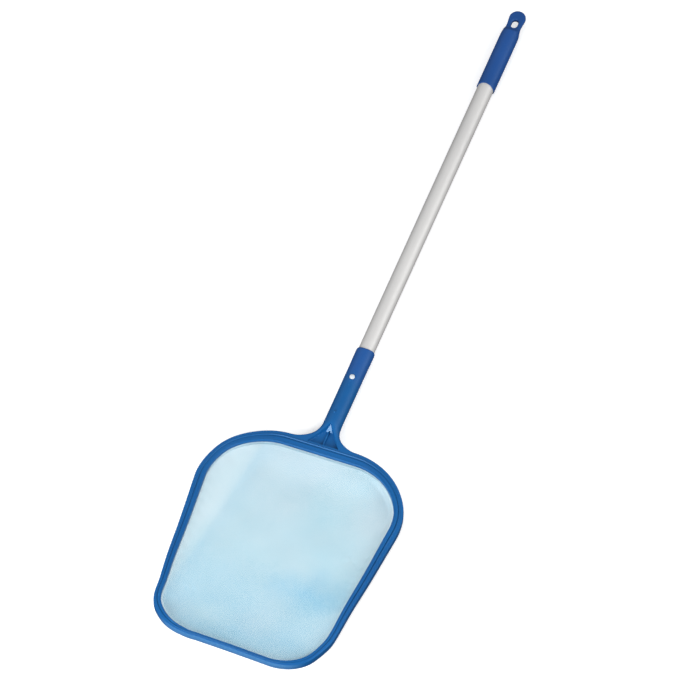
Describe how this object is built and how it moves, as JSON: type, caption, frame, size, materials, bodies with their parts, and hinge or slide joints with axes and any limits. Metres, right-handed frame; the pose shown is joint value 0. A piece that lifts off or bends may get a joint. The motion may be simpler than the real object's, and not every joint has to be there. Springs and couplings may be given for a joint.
{
  "type": "leaf skimmer net",
  "caption": "Shallow leaf skimmer net in a moulded hoop with a neck socket, snapped onto a short aluminium pole with a hanging grip.",
  "frame": {"origin": "under the middle of the whole tool, on the plane it lies on", "axes": "+Y along the pole towards the grip, +Z out of the open side of the net, +X across the hoop"},
  "size_m": [0.321, 1.2466, 0.0297],
  "materials": {
    "frame_plastic": "semi-gloss moulded polypropylene, mid blue",
    "ring_plastic": "semi-gloss moulded polypropylene, mid blue",
    "net_fabric": "fine woven nylon mesh, pale blue",
    "pole_aluminium": "satin drawn tube",
    "grip_vinyl": "satin dipped vinyl, darker blue",
    "button_steel": "polished stainless steel",
    "spring_steel": "plain spring strip"
  },
  "bodies": {
    "skimmer": {"net_frame": "frame_plastic", "mesh_retaining_ring": "ring_plastic", "net_mesh": "net_fabric", "pole_tube": "pole_aluminium", "hand_grip": "grip_vinyl", "button_spring": "spring_steel"},
    "button": {"snap_button": "button_steel"}
  },
  "joints": [
    {"name": "button_press", "type": "slide", "parent": "skimmer", "child": "button", "axis": [0, 0, -1], "range_m": [0, 0.004], "stiffness_N_per_m": 3000, "springref_m": -0.002, "deforming": ["button_spring"]}
  ]
}
